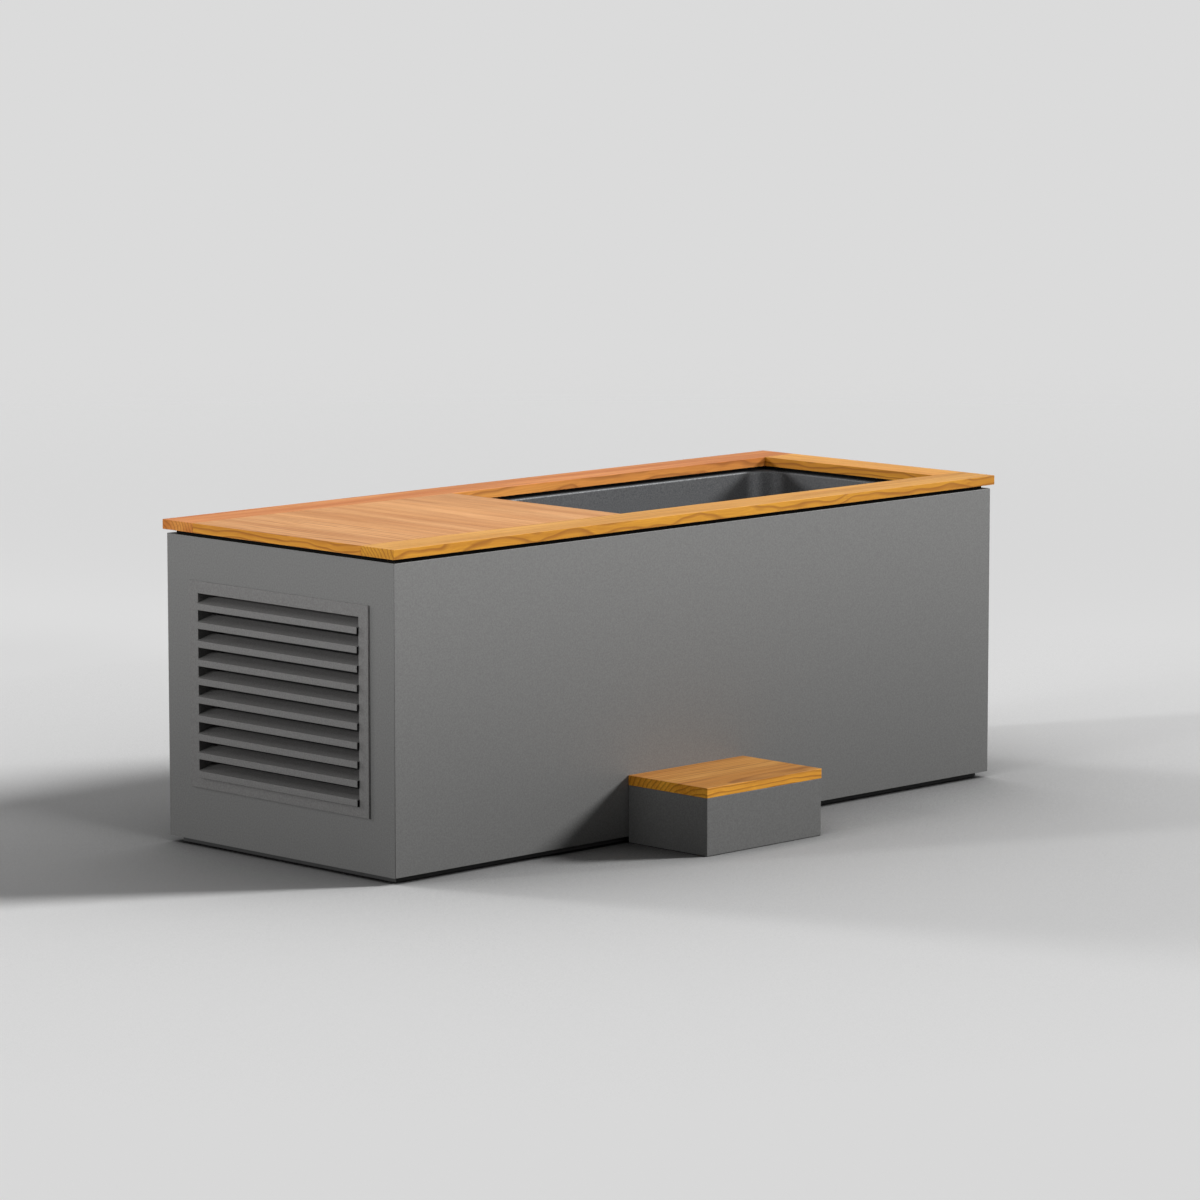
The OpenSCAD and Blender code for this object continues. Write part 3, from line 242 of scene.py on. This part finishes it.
front_rail_timber = oiled_timber(
    "oiled hardwood, front rail", "X", heart=(-0.24, 0.72), start=0.4, pale="#ECB25F", deep="#D4984A",
    side="#DBCF70",
)
rear_rail_timber = oiled_timber(
    "oiled hardwood, rear rail", "X", heart=(0.5, 0.72), start=2.9, pale="#F0A66A", deep="#D28048",
    side="#E3E1A2",
)
end_timber = oiled_timber(
    "oiled hardwood, end board", "Y", heart=(-0.9, 0.7), start=1.3, pale="#FDBC62", deep="#E8A250"
)
deck_timber = oiled_timber(
    "oiled hardwood, deck", "Y", heart=(1.3, 0.5), start=5.2, pale="#EDB37A", deep="#D89A62",
    side="#E9D867", stave=111.4 * mm,
)
tread_timber = oiled_timber(
    "oiled hardwood, tread", "X", heart=(-0.68, 0.05), start=7.7, pale="#F9B852", deep="#E29C3C",
    top="#E2DFFF", side="#FFF8AF", ring=14 * mm,
)

# Planed softwood battens out of sight: pale with open streaks
batten_timber = grained(
    "planed softwood", "#C9A06A", "#A87C48", size=9 * mm, roughness=0.68, swing=0.06, depth=0.2 * mm,
    stretch=(0.04, 1, 1), detail=4,
)

# Polyester powder coat with a fine texture, sprayed on folded sheet steel and baked: an even
# grey without a mirror gleam; its grain of 0.3 mm is drawn at 4 mm, as coarse as it needs to show
cladding_coat = grained(
    "textured powder coat", "#6B6B6A", "#5B5B5A", size=4 * mm, roughness=0.5, swing=0.05, depth=0.07 * mm,
    IOR=1.5,
)
grille_coat = grained(
    "textured powder coat, grille", "#6C6B6A", "#595857", size=4 * mm, roughness=0.54, swing=0.05,
    depth=0.06 * mm, IOR=1.5,
)
step_coat = grained(
    "textured powder coat, step", "#6B6B6A", "#5A5A59", size=4 * mm, roughness=0.5, swing=0.05,
    depth=0.07 * mm, IOR=1.5,
)


def paint_ledge_shade(material):
    """Paints shade on the ledges that look up, right under the timber: they turn near black, a painted
    shade for the gap.
    """
    tree = material.node_tree
    surface = tree.nodes["Principled BSDF"]
    place = add(tree, "ShaderNodeTexCoord").outputs
    facing = add(tree, "ShaderNodeSeparateXYZ", {0: place["Normal"]})
    slope = {"Value": facing.outputs["Z"], "From Min": 0.45, "From Max": 0.75}
    ledge = add(tree, "ShaderNodeMapRange", slope)
    coat = surface.inputs["Base Color"].links[0].from_socket
    # Painted shade: faces that look up are mixed to near black
    ledge_shade = add(tree, "ShaderNodeMix", {"data_type": "RGBA", 0: ledge, 6: coat, 7: linear("#050505")})
    tree.links.new(ledge_shade.outputs[2], surface.inputs["Base Color"])


# Painted shade, near black, on the cladding's ledges that look up
paint_ledge_shade(cladding_coat)

# Bead-blasted stainless steel: a soft satin grey that spreads highlights; its dents of 0.3 mm are
# drawn at 3.2 mm, as coarse as they need to show
basin_steel = grained(
    "bead-blasted stainless steel", "#565758", "#3A3B3D", size=3.2 * mm, roughness=0.56, swing=0.06,
    depth=0.1 * mm, Metallic=0.8,
)

# Drawn and electropolished stainless steel: bright; its long faint lines of 0.3 mm are drawn at
# 1.5 mm, as coarse as they need to show
bright_steel = grained(
    "polished stainless steel", "#C9CBCD", "#B9BCBF", size=1.5 * mm, roughness=0.16, swing=0.05,
    depth=0.01 * mm, stretch=(1, 0.1, 1), Metallic=1.0,
)

# Closed-cell EPDM strip, extruded: dead black and slightly porous, with cells of 1 to 2 mm
spacer_foam = grained(
    "closed-cell EPDM strip", "#0D0D0D", "#050505", size=1.5 * mm, roughness=0.9, swing=0.04,
    depth=0.15 * mm, IOR=1.45, Specular_IOR_Level=0.1,
)

# Black HDPE board, extruded: a waxy black with faint scuffs
base_plastic = grained(
    "extruded HDPE board", "#1D1D1D", "#262626", size=14 * mm, roughness=0.55, swing=0.1, depth=0.1 * mm,
    stretch=(0.3, 1, 1), detail=5, IOR=1.54,
)

# Welded steel tube with grey primer: dull and slightly dusty
tube_primer = grained(
    "primed steel tube", "#484A4C", "#3E4042", size=25 * mm, roughness=0.62, swing=0.08, depth=0.05 * mm,
    detail=6,
)

# Sealed birch plywood: pale with long soft streaks under a thin varnish
plywood = grained(
    "sealed birch plywood", "#C8B083", "#AE9160", size=30 * mm, roughness=0.45, swing=0.06, depth=0.08 * mm,
    stretch=(1, 1, 0.07), detail=6,
)

# Poured polyurethane foam: a creamy skin with blisters of 10 to 20 mm
jacket_foam = grained(
    "poured polyurethane foam", "#DCCFA8", "#C7B688", size=16 * mm, roughness=0.85, swing=0.06,
    depth=2.5 * mm, detail=5,
)

# Injection-moulded glass-filled ABS: dark grey with a spark-eroded texture of 0.2 mm, drawn at
# 0.9 mm, as coarse as it needs to show
fitting_plastic = grained(
    "moulded ABS, dark grey", "#33363A", "#2A2D30", size=0.9 * mm, roughness=0.42, swing=0.06,
    depth=0.03 * mm, IOR=1.54,
)

# Reticulated polyurethane filter foam: black with open cells of 2 to 3 mm
screen_foam = grained(
    "open-cell filter foam", "#141414", "#030303", size=2.4 * mm, roughness=0.95, swing=0.04,
    depth=1.2 * mm, detail=2,
)

# Hot-dip galvanised sheet: pale grey with a soft spangle of 12 mm
zinc_sheet = grained(
    "galvanised sheet", "#BEC2C5", "#A3A8AC", size=12 * mm, roughness=0.38, swing=0.1, depth=0.02 * mm,
    detail=1, Metallic=0.85,
)

# Rolled aluminium fins, left bare: bright; their fine rolling lines are drawn 2 mm apart, as coarse
# as they need to show
fin_metal = grained(
    "rolled aluminium", "#C3C6C8", "#A9ADB0", size=2 * mm, roughness=0.34, swing=0.06, depth=0.02 * mm,
    stretch=(1, 1, 0.05), Metallic=1.0,
)

# Glass-filled nylon, moulded: matt black with a faint flow pattern
fan_nylon = grained(
    "moulded nylon", "#1E2022", "#27292B", size=6 * mm, roughness=0.5, swing=0.07, depth=0.05 * mm,
    IOR=1.53,
)

# Motor and pump castings in grey machine enamel over sand-cast aluminium: a soft orange peel
motor_enamel = grained(
    "machine enamel", "#4E5356", "#45494C", size=3 * mm, roughness=0.36, swing=0.05, depth=0.12 * mm,
    IOR=1.52,
)

# Stoved black enamel on drawn steel: glossy with a faint ripple
shell_enamel = grained(
    "stoved black enamel", "#101011", "#18181A", size=18 * mm, roughness=0.22, swing=0.04, depth=0.1 * mm,
    IOR=1.52,
)

# Drawn copper tube: a warm metal with browner patches where it was brazed
copper_tube = grained(
    "drawn copper", "#C77C55", "#9E5535", size=22 * mm, roughness=0.3, swing=0.08, depth=0.02 * mm,
    Metallic=1.0,
)

# PVC-U pressure pipe, extruded: an even off-white with a low sheen
white_pipe = grained(
    "extruded PVC", "#E4E4DF", "#D9D9D3", size=30 * mm, roughness=0.34, swing=0.05, depth=0.03 * mm,
    IOR=1.53,
)

# Moulded natural rubber: dull black with a light bloom
black_rubber = grained(
    "moulded rubber", "#171717", "#232322", size=4 * mm, roughness=0.78, swing=0.06, depth=0.08 * mm,
    IOR=1.52,
)

# Injection-moulded polypropylene: an even blue-black with a satin sheen
canister_plastic = grained(
    "moulded polypropylene", "#22303B", "#24323D", size=26 * mm, roughness=0.34, swing=0.03,
    depth=0.02 * mm, detail=1, IOR=1.49,
)

# Spunbonded polyester filter cloth: soft and white; its fibres of half a millimetre are drawn at
# 1.6 mm, as coarse as they need to show
filter_cloth = grained(
    "spunbonded polyester", "#ECEDEA", "#D6D8D4", size=1.6 * mm, roughness=0.88, swing=0.05, depth=0.2 * mm,
    detail=6,
)

# Moulded red ABS levers: a saturated colour with a satin skin
lever_plastic = grained(
    "moulded ABS, red", "#B23A2D", "#A03226", size=5 * mm, roughness=0.38, swing=0.05, depth=0.04 * mm,
    IOR=1.54,
)


# Pieces: softened copies of the solids

# Gaps that are closed, an angle that counts as flat and one from which an edge is rounded
weld = 0.02 * mm
flat_turn, sharp_turn = math.radians(0.4), math.radians(32)


def kept(mesh, name, material, body, slot, *replaced):
    """Links a finished mesh as a piece that rides on a body and stands for some nodes."""
    mesh.materials.clear()
    mesh.materials.append(material)
    piece = bpy.data.objects.new(name, mesh)
    scene.collection.objects.link(piece)
    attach(piece, body)
    if replaced:
        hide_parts(*replaced)
    return piece


def merged(node):
    """A bmesh of a node's solid, its loose triangles joined and its flat faces made whole."""
    solid = bmesh.new()
    solid.from_mesh(nodes[node].data)
    bmesh.ops.remove_doubles(solid, verts=solid.verts, dist=weld)
    bmesh.ops.dissolve_limit(
        solid, angle_limit=flat_turn, verts=solid.verts, edges=solid.edges, use_dissolve_boundaries=False
    )
    return solid


def evaluated(holder):
    """The mesh that an object's modifiers make, under the object's name; the object goes."""
    name = holder.name
    mesh = bpy.data.meshes.new_from_object(holder.evaluated_get(bpy.context.evaluated_depsgraph_get()))
    mesh.name = name
    bpy.data.objects.remove(holder)
    return mesh


def rounded(solid, name, width):
    """A mesh of the solid with its sharp edges rounded to a width in metres."""
    mesh = bpy.data.meshes.new(name)
    solid.to_mesh(mesh)
    solid.free()
    mesh.shade_smooth()
    rough = bpy.data.objects.new(name, mesh)
    scene.collection.objects.link(rough)
    bevel = rough.modifiers.new("edges", "BEVEL")
    bevel.width = width
    bevel.segments = 2
    bevel.limit_method = "ANGLE"
    bevel.angle_limit = sharp_turn
    even = rough.modifiers.new("even", "WEIGHTED_NORMAL")
    even.keep_sharp = True
    return evaluated(rough)


# Material and edge radius in millimetres of each node with softened edges
softened = {
    "front_rail": (front_rail_timber, 1.2),
    "rear_rail": (rear_rail_timber, 1.2),
    "end_board": (end_timber, 1.0),
    "bay_deck": (deck_timber, 1.0),
    "step_tread": (tread_timber, 1.2),
    "front_cladding": (cladding_coat, 1.4),
    "rear_cladding": (cladding_coat, 1.4),
    "grille_end_cladding": (cladding_coat, 1.2),
    "tub_end_cladding": (cladding_coat, 1.2),
    "grille_frame": (grille_coat, 0.7),
    "step_box": (step_coat, 1.2),
    "base_board": (base_plastic, 2.0),
    "bulkhead": (plywood, 0.6),
    "tub_shell": (basin_steel, 0.8),
    "chiller_tray": (zinc_sheet, 0.5),
    "control_box": (white_pipe, 1.2),
    "filter_canister": (canister_plastic, 1.0),
    "filter_lid": (canister_plastic, 1.5),
    "circulation_pump": (motor_enamel, 1.2),
    "fan_motor": (motor_enamel, 1.5),
    "evaporator_barrel": (white_pipe, 2.0),
    "uv_chamber": (bright_steel, 1.2),
    "suction_lever": (lever_plastic, 0.8),
    "return_lever": (lever_plastic, 0.8),
    "drain_lever": (lever_plastic, 0.8),
    "suction_valve": (white_pipe, 0.8),
    "return_valve": (white_pipe, 0.8),
    "drain_valve": (white_pipe, 0.8),
    "cable_gland": (fitting_plastic, 0.5),
    "suction_fitting": (fitting_plastic, 0.8),
    "return_fitting": (fitting_plastic, 0.8),
    "drain_fitting": (fitting_plastic, 0.6),
    "suction_strainer": (fitting_plastic, 0.4),
    "return_nozzle": (bright_steel, 0.5),
    "drain_grid": (bright_steel, 0.4),
    "rubber_mounts": (black_rubber, 1.0),
    "step_glides": (black_rubber, 0.8),
    "step_battens": (batten_timber, 0.8),
    "deck_battens": (batten_timber, 0.8),
    "spacer_front": (spacer_foam, 0.6),
    "spacer_rear": (spacer_foam, 0.6),
    "spacer_tub_end": (spacer_foam, 0.6),
    "spacer_grille_end": (spacer_foam, 0.6),
    "rim_seal": (spacer_foam, 0.6),
}

# Enclosed nodes that only get a material
carried = {
    "steel_frame": tube_primer,
    "foam_jacket": jacket_foam,
    "dust_screen": screen_foam,
    "chiller_case": zinc_sheet,
    "fan_shroud": fan_nylon,
    "fan_rotor": fan_nylon,
    "compressor": shell_enamel,
    "refrigerant_lines": copper_tube,
    "filter_cartridge": filter_cloth,
    "suction_pipe": white_pipe,
    "pump_pipe": white_pipe,
    "filter_pipe": white_pipe,
    "return_pipe": white_pipe,
    "drain_pipe": white_pipe,
}

record = frame["record"]
slot_of = {part["node"]: part["material_slot"] for part in record["subparts"]}
body_of = {node: body for body, members in record["behaviour"]["bodies"].items() for node in members}

for node, (material, width) in softened.items():
    mesh = rounded(merged(node), node + ".soft", width * mm)
    kept(mesh, node + ".soft", material, body_of[node], slot_of[node], node)

for node, material in carried.items():
    for place in nodes[node].material_slots:
        place.material = material


# What repeats: the louvre's blades and the coil's fins


def in_a_row(name, shape, count, step, material):
    """A mesh of equal copies of a shape, each a step further on, made with Geometry Nodes."""
    tree = bpy.data.node_groups.new(name, "GeometryNodeTree")
    tree.interface.new_socket("Row", in_out="OUTPUT", socket_type="NodeSocketGeometry")
    sockets = {}
    for label, kind, value in (
        ("Shape", "NodeSocketObject", shape),
        ("Count", "NodeSocketInt", count),
        ("Step", "NodeSocketVector", step),
        ("Finish", "NodeSocketMaterial", material),
    ):
        socket = tree.interface.new_socket(label, in_out="INPUT", socket_type=kind)
        sockets[socket.identifier] = value
    given = add(tree, "NodeGroupInput").outputs
    places = {"mode": "OFFSET", "Count": given["Count"], "Offset": given["Step"]}
    line = add(tree, "GeometryNodeMeshLine", places)
    one = add(tree, "GeometryNodeObjectInfo", {"Object": given["Shape"]}).outputs["Geometry"]
    copies = add(tree, "GeometryNodeInstanceOnPoints", {"Points": line, "Instance": one})
    solid = add(tree, "GeometryNodeRealizeInstances", {0: copies})
    dressed = add(tree, "GeometryNodeSetMaterial", {"Geometry": solid, "Material": given["Finish"]})
    add(tree, "NodeGroupOutput", {0: dressed})
    holder = bpy.data.objects.new(name, bpy.data.meshes.new(name))
    scene.collection.objects.link(holder)
    row = holder.modifiers.new("row", "NODES")
    row.node_group = tree
    for identifier, value in sockets.items():
        row[identifier] = value
    mesh = evaluated(holder)
    bpy.data.objects.remove(shape)
    return mesh


def loose(mesh, name):
    """An object that only lends its shape to a row."""
    shape = bpy.data.objects.new(name, mesh)
    scene.collection.objects.link(shape)
    return shape


def islands(solid):
    """The separate shells of a bmesh, each as a set of vertices, lowest first."""
    found, left = [], set(solid.verts)
    while left:
        shell, todo = set(), [left.pop()]
        while todo:
            vertex = todo.pop()
            shell.add(vertex)
            for edge in vertex.link_edges:
                other = edge.other_vert(vertex)
                if other in left:
                    left.discard(other)
                    todo.append(other)
        found.append(shell)
    return sorted(found, key=lambda shell: min(vertex.co.z for vertex in shell))


slats = "grille_blades"
blades = merged(slats)
shells = islands(blades)
foot = [min(vertex.co.z for vertex in shell) for shell in shells]
for shell in shells[1:]:
    bmesh.ops.delete(blades, geom=list(shell), context="VERTS")
blade = loose(rounded(blades, "blade", 0.5 * mm), "blade")
pitch = (foot[-1] - foot[0]) / (len(foot) - 1)
louvre = in_a_row("louvre", blade, len(foot), (0, 0, pitch), grille_coat)
kept(louvre, "louvre.blades", grille_coat, body_of[slats], slot_of[slats], slats)

# The coil: pressed aluminium fins on copper tubes between two end plates


def prism(outline, low, high):
    """A bmesh of an outline in X and Y, drawn up from one height to another."""
    solid = bmesh.new()
    face = solid.faces.new([solid.verts.new((x, y, low)) for x, y in outline])
    for part in bmesh.ops.extrude_face_region(solid, geom=[face])["geom"]:
        if isinstance(part, bmesh.types.BMVert):
            part.co.z = high
    bmesh.ops.recalc_face_normals(solid, faces=solid.faces)
    return solid


coil = "condenser_coil"
(coil_x0, coil_y0, coil_z0), (coil_x1, coil_y1, coil_z1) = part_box("condenser_coil")
plate, reveal = 10 * mm, 3 * mm
fin_pitch, fin_t, fin_wave, folds = 3.2 * mm, 0.3 * mm, 0.6 * mm, 8
fin_y = coil_y0 + plate + fin_pitch / 2
fin_depth = coil_x1 - coil_x0 - 2 * reveal
bends = [(coil_x0 + reveal + i * fin_depth / folds, fin_y + i % 2 * fin_wave) for i in range(folds + 1)]
fin_solid = prism(bends + [(x, y + fin_t) for x, y in reversed(bends)], coil_z0, coil_z1)
fin_mesh = bpy.data.meshes.new("fin")
fin_solid.to_mesh(fin_mesh)
fin_solid.free()
fin_count = int((coil_y1 - plate - fin_y - fin_wave - fin_t) / fin_pitch) + 1
fins = in_a_row("coil.fins", loose(fin_mesh, "fin"), fin_count, (0, fin_pitch, 0), fin_metal)
kept(fins, "coil.fins", fin_metal, body_of[coil], slot_of[coil], coil)

for end, y in (("near", coil_y0), ("far", coil_y1 - plate)):
    corners = [(coil_x0, y), (coil_x1, y), (coil_x1, y + plate), (coil_x0, y + plate)]
    label = "coil.plate_" + end
    ended = rounded(prism(corners, coil_z0, coil_z1), label, 1 * mm)
    kept(ended, label, zinc_sheet, body_of[coil], slot_of["chiller_case"], coil)

tubes, tube_rows, tube_r = bmesh.new(), 6, 4.8 * mm
tube_length = coil_y1 - coil_y0 - plate
for i in range(tube_rows):
    height = coil_z0 + (i + 0.5) * (coil_z1 - coil_z0) / tube_rows
    middle = Vector(((coil_x0 + coil_x1) / 2, (coil_y0 + coil_y1) / 2, height))
    lie = Matrix.Translation(middle) @ Matrix.Rotation(math.pi / 2, 4, "X")
    bmesh.ops.create_cone(
        tubes, cap_ends=True, segments=24, radius1=tube_r, radius2=tube_r, depth=tube_length, matrix=lie
    )
tubes = rounded(tubes, "coil.tubes", 0.5 * mm)
kept(tubes, "coil.tubes", copper_tube, body_of[coil], slot_of["refrigerant_lines"], coil)


# Stage: a pale floor that fades into the background, and a plain studio

backdrop = linear("#DBDBDB")
floor_radius, fade_from, fade_to = 14, 6.0, 13.0  # in metres
bounce_tone, seen_tone = grey(0.36), grey(0.85)  # the paper for bounced light and for the eye
contact_reach, contact_power = 2.5, 1.76  # the contact shade's reach in metres, and its depth

floor_mesh = bpy.data.meshes.new("floor")
disc = bmesh.new()
bmesh.ops.create_circle(disc, cap_ends=True, segments=96, radius=floor_radius)
disc.to_mesh(floor_mesh)
disc.free()
floor = bpy.data.objects.new("floor", floor_mesh)
scene.collection.objects.link(floor)

paper = bpy.data.materials.new("seamless paper")
paper.use_nodes = True
tree = paper.node_tree
tree.nodes.clear()
where = add(tree, "ShaderNodeTexCoord").outputs
away = add(tree, "ShaderNodeVectorMath", {"operation": "LENGTH", 0: where["Object"]}).outputs["Value"]
edge = {"interpolation_type": "SMOOTHSTEP", "From Min": fade_from, "From Max": fade_to}
fade = add(tree, "ShaderNodeMapRange", {**edge, "Value": away})
light_path = add(tree, "ShaderNodeLightPath").outputs
seen = {"data_type": "RGBA", 0: light_path["Is Camera Ray"], 6: bounce_tone, 7: seen_tone}
tone = add(tree, "ShaderNodeMix", seen).outputs[2]
# The paper's colour is darkened close to the object: a painted soft contact shade
open_sky = add(tree, "ShaderNodeAmbientOcclusion", {"samples": 6, "Distance": contact_reach})
shade = add(tree, "ShaderNodeMath", {"operation": "POWER", 0: open_sky.outputs["AO"], 1: contact_power})
shaded = add(tree, "ShaderNodeVectorMath", {"operation": "SCALE", 0: tone, "Scale": shade})
matt = add(tree, "ShaderNodeBsdfDiffuse", {"Color": shaded})
clear = add(tree, "ShaderNodeBsdfTransparent")
mixed = add(tree, "ShaderNodeMixShader", {0: fade, 1: matt, 2: clear})
add(tree, "ShaderNodeOutputMaterial", {"Surface": mixed})
floor_mesh.materials.append(paper)

world = bpy.data.worlds.new("studio")
scene.world = world
world.use_nodes = True
tree = world.node_tree
tree.nodes.clear()
# Rays from the camera, off a gloss and through glass see the backdrop; the rest get a faint even light
light_path = add(tree, "ShaderNodeLightPath").outputs
direct, gloss, glass = (light_path[f"Is {ray} Ray"] for ray in ("Camera", "Glossy", "Transmission"))
either = add(tree, "ShaderNodeMath", {"operation": "MAXIMUM", 0: direct, 1: gloss})
any_of = add(tree, "ShaderNodeMath", {"operation": "MAXIMUM", 0: either, 1: glass})
soft = add(tree, "ShaderNodeBackground", {"Color": grey(1), "Strength": 0.06})
shown = add(tree, "ShaderNodeBackground", {"Color": backdrop, "Strength": 1.0})
mixed = add(tree, "ShaderNodeMixShader", {0: any_of, 1: soft, 2: shown})
add(tree, "ShaderNodeOutputWorld", {"Surface": mixed})

# Lamps, with their distance and the softboxes' width in metres
lamp_away, softbox_width = 4, 0.4


def towards(azimuth, elevation):
    """A direction from an angle in the floor, counted from X towards Y, and an angle above it."""
    turn, rise = math.radians(azimuth), math.radians(elevation)
    return Vector((math.cos(turn) * math.cos(rise), math.sin(turn) * math.cos(rise), math.sin(rise)))


def hung(lamp, place, direction):
    """Hangs a lamp at a place, shining against a direction."""
    holder = bpy.data.objects.new(lamp.name, lamp)
    holder.location = place
    holder.rotation_euler = direction.to_track_quat("Z", "Y").to_euler()
    scene.collection.objects.link(holder)


def far_lamp(name, azimuth, elevation, strength, width):
    """A lamp far off, as wide in the sky as an angle in degrees."""
    lamp = bpy.data.lights.new(name, "SUN")
    lamp.energy = strength
    lamp.angle = math.radians(width)
    direction = towards(azimuth, elevation)
    hung(lamp, direction * lamp_away, direction)


def strip_lamp(name, azimuth, elevation, aim, length, power, spread=24):
    """A long softbox with a grid of a spread in degrees, aimed at a place."""
    lamp = bpy.data.lights.new(name, "AREA")
    lamp.shape = "RECTANGLE"
    lamp.size = length
    lamp.size_y = softbox_width
    lamp.spread = math.radians(spread)
    lamp.energy = power
    direction = towards(azimuth, elevation)
    hung(lamp, Vector(aim) + direction * lamp_away, direction)


far_lamp("key", 328.5, 25, strength=4.2, width=12)
far_lamp("rear fill", 110, 20, strength=0.95, width=12)
far_lamp("end fill", 156, 12, strength=1.2, width=5)
strip_lamp("front strip", 270, 15, aim=(0, -0.42, 0.9), length=3.6, power=5.9)
strip_lamp("end strip", 180, 15, aim=(-1.1, 0, 0.9), length=2.2, power=3.0)
strip_lamp("basin strip", 0, 90, aim=(0.39, 0, 0.5), length=0.9, power=0.6, spread=10)
